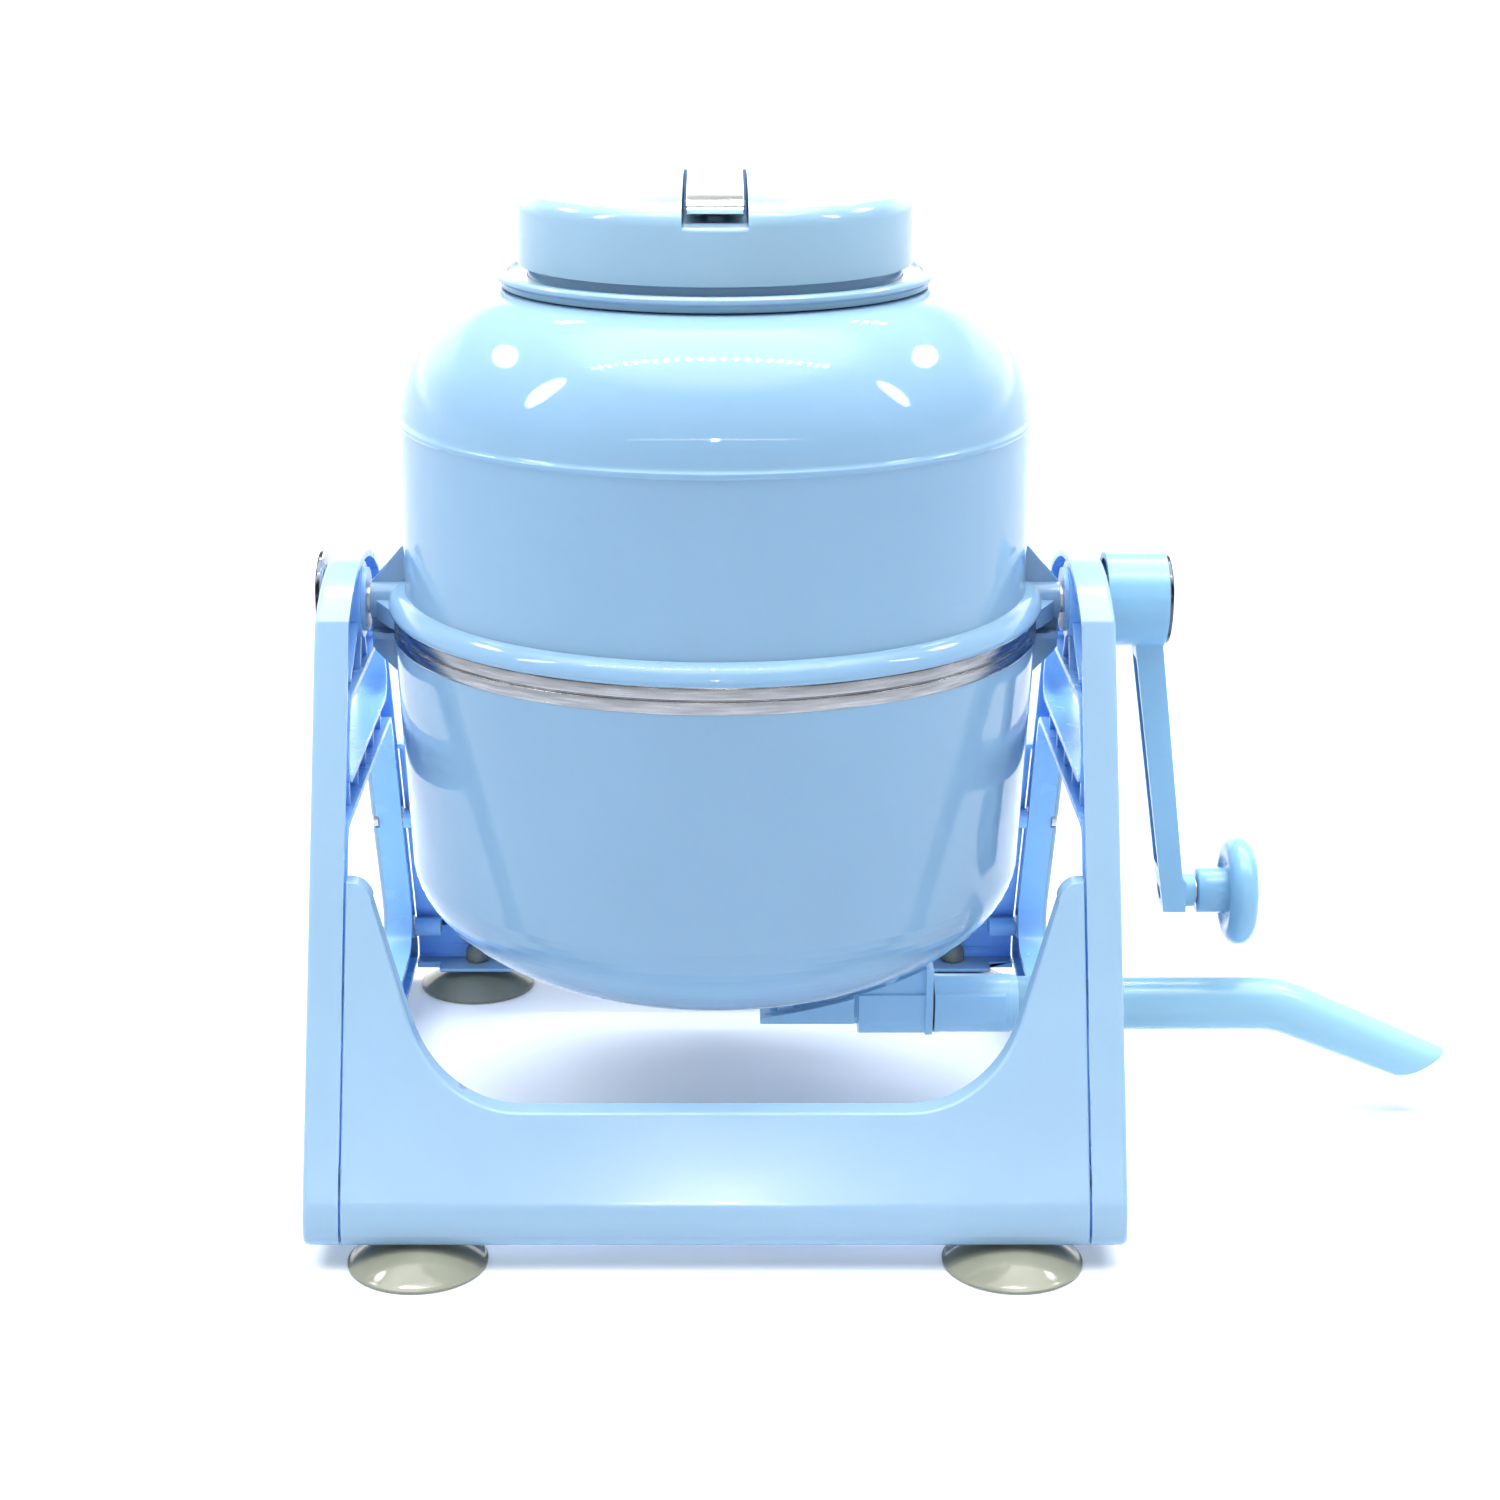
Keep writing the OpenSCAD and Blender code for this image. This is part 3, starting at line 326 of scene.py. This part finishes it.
# ------------------------------------------------------------------ drum
def upper_shell():
    prof = fillet([(122.6, 222.5), (129, 222.5), (129, 225), (125.2, 225), (125.2, 300.0), (125.85, 300.9), (125.9, 302.2), (124.9, 303.2)], 0.8, 5, closed=False, min_turn=15)
    prof += superq(82, 302.8, 42.7, 49.8, 1.79, 1, 44)[1:]
    prof += fillet([(76, 352.8), (73.5, 353), (73.5, 377.2), (72.9, 378), (70.6, 378), (70, 377.2), (70, 350)], 0.4, 3, closed=False)
    prof += superq(82, 302.8, 40.1, 47.2, 1.79, 1, 30)[::-1]
    prof += [(122.6, 301.8)]
    bm = bmesh.new()
    lathe(bm, prof, 224)
    return stand_for(new_object("shell_upper", bm, MAT["drum"], 45), "upper_shell")


def neck_ring():
    prof = fillet([(73.55, 353.1), (83.8, 353.1), (84.3, 355.4), (85.4, 355.9), (86.2, 356.7), (86.2, 358.0), (85.4, 358.9), (82.4, 359.0), (81.6, 358.3), (81.2, 357.2), (73.55, 357.2)], 0.5, 4)
    bm = bmesh.new()
    lathe(bm, prof, 200)
    return stand_for(new_object("neck_collar", bm, MAT["lid"], 45), "neck_ring")


def band():
    prof = fillet([(129.02, 214.2), (130.15, 214.2), (130.3, 215.0), (130.3, 218.9), (129.65, 219.3), (129.65, 219.6), (130.3, 220.0), (130.3, 224.0), (130.0, 224.9), (129.02, 224.9)], 0.25, 3)
    bm = bmesh.new()
    lathe(bm, prof, 224)
    return stand_for(new_object("steel_band", bm, MAT["band"], 45), "band_trim")


def arc(cx, cz, r, a0, a1, n):
    return [(cx + r * math.cos(math.radians(a0 + (a1 - a0) * i / n)), cz + r * math.sin(math.radians(a0 + (a1 - a0) * i / n))) for i in range(n + 1)]


def knob():
    prof = [(4.06, 0), (9.0, 0), (9.5, 0.5)] + arc(12.2, 11.0, 2.7, 180, 96, 8)
    prof += arc(16.9, 17.5, 5.9, -108, 102, 34) + [(10.4, 22.6), (10, 22.2), (10, 20.3), (8.6, 20.3), (8.6, 18.1), (4.06, 18.1)]
    bm = bmesh.new()
    lathe(bm, prof, 144, place=along_x(201.8, z=99))
    stand_for(new_object("knob_grip", bm, MAT["crank"], 50), "crank_knob")
    prof = [(0, 20.8), (8.2, 20.8), (8.2, 20.3), (9.95, 20.3)] + arc(9.35, 21.6, 0.6, 0, 78, 4) + [(8, 22.5), (6, 22.8), (3, 23.02), (0, 23.1)]
    bm = bmesh.new()
    lathe(bm, prof, 96, place=along_x(201.8, z=99))
    stand_for(new_object("knob_end", bm, MAT["crank"], 40), "knob_cap")


def two_tone(ob, dark, test):
    """Gives the faces that pass the test a second material."""
    ob.data.materials.append(dark)
    for f in ob.data.polygons:
        if test(f.center / MM, f.normal):
            f.material_index = 1


def end_caps():
    prof = [(0, 2.6), (4.6, 2.6), (4.6, 0.6), (14, 0.6), (14, 0), (19.4, 0), (20, 0.5), (20, 1.5)] + arc(18.9, 1.5, 1.1, 0, 78, 5)
    prof += [(14, 3.3), (6, 3.7), (0, 3.8)]
    bm = bmesh.new()
    lathe(bm, prof, 128, place=along_x(-157.6, sign=-1))
    ob = stand_for(new_object("cap_left", bm, MAT["chrome"], 35), "left_end_cap")
    # the cap's rim gets the painted dark metal, a painted dark reflection
    two_tone(ob, MAT["dark"], lambda c, n: abs(n.x) < 0.5)
    prof = [(0, 0), (17.6, 0), (18.2, 0.5), (18.2, 1.2)] + arc(17.3, 1.2, 0.9, 0, 60, 4) + [(16.6, 2.6), (10, 3.4), (4, 3.57), (0, 3.6)]
    bm = bmesh.new()
    lathe(bm, prof, 128, place=along_x(182.0))
    ob = stand_for(new_object("cap_right", bm, MAT["chrome"], 35), "crank_cap")
    # the crank cap's rim gets the painted dark metal, a painted dark reflection
    two_tone(ob, MAT["dark"], lambda c, n: abs(n.x) < 0.5)


def tube():
    """The drain tube as one sweep: straight run, elbow, and a tapering spout with a slanting rounded mouth."""
    seg, bend, px, pz = 112, math.radians(23), 229.8, 3.0
    d, v = Vector((math.cos(bend), 0, -math.sin(bend))), Vector((math.sin(bend), 0, math.cos(bend)))
    tip, n = Vector((314.4, 0, 28.5)), Vector((-0.4909, 0, 0.8712))
    start = Vector((px + 45 * math.sin(bend), 0, pz + 45 * math.cos(bend)))
    bm = bmesh.new()

    def ring(fn):
        return [bm.verts.new(fn(2 * math.pi * k / seg) * MM) for k in range(seg)]

    def straight(x, r):
        return ring(lambda g: Vector((x, r * math.cos(g), 48 + r * math.sin(g))))

    def elbow(a, r):
        c, w = Vector((px + 45 * math.sin(a), 0, pz + 45 * math.cos(a))), Vector((math.sin(a), 0, math.cos(a)))
        return ring(lambda g: c + r * (math.cos(g) * Vector((0, 1, 0)) + math.sin(g) * w))

    def spout(k, r0, r1, back=0.0, mix=0.0):
        def at(g):
            u = math.cos(g) * Vector((0, 1, 0)) + math.sin(g) * v
            a, b = r0 + mix, (r1 - r0) / 90
            t = n.dot(tip - start - u * a) / n.dot(d + u * b)
            t = (t - back) * k
            return start + d * t + u * (a + b * t)
        return ring(at)

    outer = [straight(x, 11.3) for x in (112, 128, 150, 180, 210, 229.8)]
    outer += [elbow(bend * i / 16, 11.3) for i in range(1, 17)]
    outer += [spout(i / 12, 11.3, 9.0, 0.9) for i in range(1, 13)]
    lip = []
    for i in range(1, 8):
        a = math.pi * i / 8
        lip.append(spout(1.0, 11.3, 9.0, 0.9 - 0.85 * math.sin(a), -0.9 + 0.9 * math.cos(a)))
    inner = [spout(i / 12, 9.3, 7.2, 0.9) for i in range(12, 0, -1)]
    inner += [elbow(bend * i / 16, 9.3) for i in range(16, 0, -1)]
    inner += [straight(x, 9.3) for x in (229.8, 210, 180, 150, 128, 112)]
    rings = outer + lip + inner
    for i, a in enumerate(rings):
        b = rings[(i + 1) % len(rings)]
        for k in range(seg):
            k1 = (k + 1) % seg
            bm.faces.new((a[k], b[k], b[k1], a[k1]))
    stand_for(new_object("spout_tube", bm, MAT["tube"], 50), "drain_tube")


upper_shell()
neck_ring()
band()
knob()
end_caps()
tube()


# ------------------------------------------------------------------ feet
def cup(node, cx, cy):
    arc = lambda cz, r, a0, a1, n: [(r * math.cos(math.radians(a0 + (a1 - a0) * i / n)), cz + r * math.sin(math.radians(a0 + (a1 - a0) * i / n))) for i in range(n + 1)]
    prof = [(0, 6.2)] + arc(-49.75, 55.95, 86, 64, 14) + [(25.6, 0.0), (26.8, 0.0), (26.8, 0.9)]
    prof += arc(-39.6, 48.4, 56.8, 81.5, 14) + [(5.6, 8.4), (4.2, 8.9), (4.2, 12.3), (5.5, 12.7)] + arc(15.6, 5.5, 0, 90, 8)
    bm = bmesh.new()
    lathe(bm, prof, 128, place=lambda p: (p[0] + cx, p[1] + cy, p[2]))
    return stand_for(new_object(node + "_cup", bm, MAT["vinyl"], 50), node)


cup("foot_front_left", -113.5, -140.5)
cup("foot_front_right", 113.5, -140.5)
cup("foot_rear_left", -113.5, 140.5)
cup("foot_rear_right", 113.5, 140.5)


# ------------------------------------------------------------------ nodes whose own shape is right
def frame_rim(c, a, b):
    return abs(c.x) > 155.9 and math.hypot(c.y, c.z - 225) > 16 and not any(
        math.hypot(c.y - y, c.z - z) < 5.5 for y, z in ((135, 31), (103, 96), (-135, 31), (-103, 96)))


def panel_rim(sign):
    def test(c, a, b):
        out = [abs(n.x) < 0.3 and (n.y * sign > 0.35 or n.z < -0.9) for n in (a, b)]
        return out[0] != out[1] and c.z > 9.5 and c.y * sign > 101
    return test


def frame_hollow(c, n):
    """Is this face inside the moulding's C-section, and not on the outline or the outer side? Such faces get painted
    shade: a brighter, more saturated blue standing for the deep bounced blue of their shadow.
    """
    leg = abs(abs(c.y) - (150 - (c.z - 20) * 0.4757)) < 0.6
    arch = abs(math.hypot(c.y, c.z - 149) - 94) < 0.5 and c.z > 180
    foot = c.z < 30 and (c.z < 9.6 or abs(c.y) > 140)
    return abs(c.x) < 153.7 and not (leg or arch or foot)


# the faces inside the frames' C-section get the painted inner shade colour
for n in ("left_side_frame", "right_side_frame"):
    two_tone(eased(n, MAT["stand"], 0.5, rim=frame_rim, rim_width=2.1), MAT["hollow"], frame_hollow)
# the panels' inward faces get the painted inner shade colour too
two_tone(eased("front_panel", MAT["stand"], 0.5, rim=panel_rim(-1), rim_width=1.3), MAT["hollow"], lambda c, n: n.y > 0.3)
two_tone(eased("rear_panel", MAT["stand"], 0.5, rim=panel_rim(1), rim_width=1.3), MAT["hollow"], lambda c, n: n.y < -0.3)
eased("trunnion_ring", MAT["drum"], 0.5)
eased("crank_arm", MAT["crank"], 0.8)
# the shoe and connector take the lightened colour: painted light in the shade under the drum
eased("drain_shoe", MAT["shoe"], 0.6)
eased("tube_connector", MAT["shoe"], 0.6)
lever = eased("lid_lever", MAT["lever"], 0.5)
# the lever's sides get the painted dark metal: painted shade
two_tone(lever, MAT["dark"], lambda c, n: abs(n.x) > 0.8)
lid = eased("lid_shell", MAT["lid"], 0.5, rim=lambda c, a, b: c.y < -70 and abs(c.z - 383) < 0.1 and abs(c.x) < 12.2 and min(a.z, b.z) < 0.5 and max(a.z, b.z) > 0.9, rim_width=1.7)
# the lever channel's side walls get the painted dark shade
two_tone(lid, MAT["painted_channel_shade"], lambda c, n: abs(c.x) < 12.4 and abs(n.x) > 0.7 and c.z > 377 and c.z < 392.5)

# the spring shortens from below as the plunger lifts, from 21.2 mm to 18.2 mm; here it is only rebuilt and given a
# mesh of its own
spring = eased("valve_spring", MAT["steel"], 0, name="spring_wire")
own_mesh(spring)

BY_NODE = {
    "panel_screws": "steel", "left_bush": "inner", "right_bush": "inner", "lower_tub": "drum",
    "tub_seal": "rubber", "left_trunnion": "steel", "left_axle_screw": "steel",
    "right_trunnion": "steel", "crank_screw": "steel", "knob_spindle": "steel",
    "shoe_screws": "steel", "drain_strainer": "steel",
    "valve_plunger": "white", "valve_seal": "rubber",
    "lid_underplate": "inner", "underplate_screws": "steel", "pressure_plate": "inner", "lid_gasket": "rubber",
    "clamp_stud": "steel", "stud_nut": "steel", "lever_pin": "steel", "tube_seal": "rubber",
}
for n, key in BY_NODE.items():
    ob = NODES[n]
    ob.data.materials.clear()
    ob.data.materials.append(MAT[key])


# ------------------------------------------------------------------ floor, light, camera
def floor():
    m, nt, b = tree("floor_paper")
    tc = add(nt, "ShaderNodeTexCoord")
    nz = add(nt, "ShaderNodeTexNoise")
    nz.inputs["Scale"].default_value = 3.0
    nt.links.new(tc.outputs["Object"], nz.inputs["Vector"])
    ramp = add(nt, "ShaderNodeValToRGB")
    ramp.color_ramp.elements[0].color = (0.62, 0.67, 0.735, 1)
    ramp.color_ramp.elements[1].color = (0.65, 0.70, 0.765, 1)
    nt.links.new(nz.outputs["Fac"], ramp.inputs["Fac"])
    nt.links.new(ramp.outputs["Color"], b.inputs["Base Color"])
    b.inputs["Roughness"].default_value = 0.5
    # painted light: the paper glows a little more further out, standing in for lamps there
    ln = add(nt, "ShaderNodeVectorMath", operation="LENGTH")
    nt.links.new(tc.outputs["Object"], ln.inputs[0])
    mr = add(nt, "ShaderNodeMapRange", interpolation_type="SMOOTHSTEP")
    mr.inputs["From Min"].default_value = 0.3
    mr.inputs["From Max"].default_value = 1.0
    mr.inputs["To Min"].default_value = 0.0
    mr.inputs["To Max"].default_value = 0.03
    nt.links.new(ln.outputs["Value"], mr.inputs["Value"])
    # and the table glows a little under the machine
    off = add(nt, "ShaderNodeVectorMath", operation="DISTANCE")
    off.inputs[1].default_value = (0, -0.08, 0)
    nt.links.new(tc.outputs["Object"], off.inputs[0])
    near = add(nt, "ShaderNodeMapRange", interpolation_type="SMOOTHSTEP")
    near.inputs["From Min"].default_value = 0.42
    near.inputs["From Max"].default_value = 0.12
    near.inputs["To Min"].default_value = 0.0
    near.inputs["To Max"].default_value = 0.22
    nt.links.new(off.outputs["Value"], near.inputs["Value"])
    total = add(nt, "ShaderNodeMath", operation="ADD")
    nt.links.new(mr.outputs["Result"], total.inputs[0])
    nt.links.new(near.outputs["Result"], total.inputs[1])
    b.inputs["Emission Color"].default_value = (0.88, 0.95, 1, 1)
    nt.links.new(total.outputs[0], b.inputs["Emission Strength"])
    bm = bmesh.new()
    ring = [bm.verts.new((40 * math.cos(a * math.pi / 32), 40 * math.sin(a * math.pi / 32), -0.0004)) for a in range(64)]
    bm.faces.new(ring)
    me = bpy.data.meshes.new("floor")
    bm.to_mesh(me)
    bm.free()
    me.materials.append(m)
    ob = bpy.data.objects.new("floor", me)
    scene.collection.objects.link(ob)


floor()

world = bpy.data.worlds.new("tent")
scene.world = world
world.use_nodes = True
wt = world.node_tree
wt.nodes.clear()
out = add(wt, "ShaderNodeOutputWorld")
bg = add(wt, "ShaderNodeBackground")
wt.links.new(bg.outputs["Background"], out.inputs["Surface"])
tc = add(wt, "ShaderNodeTexCoord")
sep = add(wt, "ShaderNodeSeparateXYZ")
wt.links.new(tc.outputs["Generated"], sep.inputs["Vector"])
# bright tent above and behind, dimmer open front near the horizon
front = add(wt, "ShaderNodeMapRange", interpolation_type="SMOOTHSTEP")
front.inputs["From Min"].default_value = -0.1
front.inputs["From Max"].default_value = 0.7
front.inputs["To Min"].default_value = 0.2
front.inputs["To Max"].default_value = 0.5
wt.links.new(sep.outputs["Y"], front.inputs["Value"])
up = add(wt, "ShaderNodeMapRange", interpolation_type="SMOOTHSTEP")
up.inputs["From Min"].default_value = 0.42
up.inputs["From Max"].default_value = 0.85
up.inputs["To Min"].default_value = 0.0
up.inputs["To Max"].default_value = 1.0
wt.links.new(sep.outputs["Z"], up.inputs["Value"])
mix = add(wt, "ShaderNodeMix", data_type="FLOAT")
wt.links.new(up.outputs["Result"], mix.inputs[0])
wt.links.new(front.outputs["Result"], mix.inputs[2])


def smooth_range(src, a, b, lo, hi):
    n = add(wt, "ShaderNodeMapRange", interpolation_type="SMOOTHSTEP")
    n.inputs["From Min"].default_value = a
    n.inputs["From Max"].default_value = b
    n.inputs["To Min"].default_value = lo
    n.inputs["To Max"].default_value = hi
    wt.links.new(src, n.inputs["Value"])
    return n.outputs["Result"]


# the roof is brighter towards the rear
wt.links.new(smooth_range(sep.outputs["Y"], -0.7, 0.1, 0.22, 0.95), mix.inputs[3])
# and brightest overhead
cap = smooth_range(sep.outputs["Z"], 0.77, 0.93, 0.0, 5.6)
roof = add(wt, "ShaderNodeMath", operation="ADD")
wt.links.new(mix.outputs[0], roof.inputs[0])
wt.links.new(cap, roof.inputs[1])
# brighter band low in the rear wall
back = smooth_range(sep.outputs["Y"], 0.35, 0.8, 0.0, 1.0)
rise = smooth_range(sep.outputs["Z"], 0.0, 0.08, 0.0, 1.0)
fall = smooth_range(sep.outputs["Z"], 0.33, 0.44, 2.0, 0.0)
both = add(wt, "ShaderNodeMath", operation="MULTIPLY")
wt.links.new(back, both.inputs[0])
wt.links.new(rise, both.inputs[1])
lit = add(wt, "ShaderNodeMath", operation="MULTIPLY_ADD")
wt.links.new(both.outputs[0], lit.inputs[0])
wt.links.new(fall, lit.inputs[1])
wt.links.new(roof.outputs[0], lit.inputs[2])
# the floor's far edge melts into the wall all round
edge = add(wt, "ShaderNodeMath", operation="ADD")
wt.links.new(lit.outputs[0], edge.inputs[0])
wt.links.new(smooth_range(sep.outputs["Z"], 0.03, 0.14, 0.9, 0.0), edge.inputs[1])
wt.links.new(edge.outputs[0], bg.inputs["Strength"])
bg.inputs["Color"].default_value = (1.0, 1.0, 1.0, 1)


def area(name, place, target, size, radiance, color=(1, 1, 1), leds=0, shape="RECTANGLE"):
    """A flat lamp of a given radiance; leds cuts it into a row of points along its length."""
    data = bpy.data.lights.new(name, "AREA")
    data.shape = shape
    data.size, data.size_y = size
    data.energy = radiance * math.pi * size[0] * size[1]
    data.color = color
    ob = bpy.data.objects.new(name, data)
    scene.collection.objects.link(ob)
    ob.location = place
    d = Vector(target) - Vector(place)
    ob.rotation_euler = d.to_track_quat("-Z", "Y").to_euler()
    if leds:
        data.use_nodes = True
        nt = data.node_tree
        em = next(n for n in nt.nodes if n.type == "EMISSION")
        geo = add(nt, "ShaderNodeNewGeometry")
        sp = add(nt, "ShaderNodeSeparateXYZ")
        nt.links.new(geo.outputs["Parametric"], sp.inputs["Vector"])
        mul = add(nt, "ShaderNodeMath", operation="MULTIPLY")
        mul.inputs[1].default_value = leds
        nt.links.new(sp.outputs["X"], mul.inputs[0])
        fr = add(nt, "ShaderNodeMath", operation="PINGPONG")
        fr.inputs[1].default_value = 0.5
        nt.links.new(mul.outputs[0], fr.inputs[0])
        gt = add(nt, "ShaderNodeMath", operation="GREATER_THAN")
        gt.inputs[1].default_value = 0.38
        nt.links.new(fr.outputs[0], gt.inputs[0])
        k = add(nt, "ShaderNodeMath", operation="MULTIPLY")
        k.inputs[1].default_value = 2.0
        nt.links.new(gt.outputs[0], k.inputs[0])
        nt.links.new(k.outputs[0], em.inputs["Strength"])
    return ob


# rows of small lamps in the roof of the tent, strips at its sides, one far lamp in front
area("roof_front", (-0.02, -0.17, 0.82), (-0.02, -0.17, 0), (0.66, 0.026), 80, leds=24)
area("roof_back", (0.02, 0.36, 0.82), (0.02, 0.3, 0), (0.60, 0.040), 80, leds=22)
area("soft_left", (-0.68, -0.24, 0.80), (-0.06, -0.10, 0.33), (0.11, 0.32), 18, shape="ELLIPSE")
area("soft_right", (0.74, -0.22, 0.80), (0.06, -0.10, 0.33), (0.09, 0.28), 18, shape="ELLIPSE")
area("back_left", (-0.60, 0.17, 0.80), (-0.08, -0.08, 0.33), (0.22, 0.12), 15, shape="ELLIPSE")
area("back_right", (0.60, 0.17, 0.80), (0.08, -0.08, 0.33), (0.22, 0.12), 15, shape="ELLIPSE")
area("far_lamp", (0, -6.0, 2.42), (0, 0, 0.25), (0.26, 0.16), 170)
area("front_strip", (0, -4.0, 1.75), (0, 0, 0.1), (5.0, 0.07), 10)

cam = bpy.data.cameras.new("camera")
cam.sensor_width = 36
cam.lens = 66.48
cam.shift_x = 0.0233
cam.clip_end = 200
cam_ob = bpy.data.objects.new("camera", cam)
scene.collection.objects.link(cam_ob)
cam_ob.location = (0, -1.0934, 0.5018)
cam_ob.rotation_euler = (math.radians(72.67), 0, 0)
scene.camera = cam_ob
scene.view_settings.view_transform = "Standard"
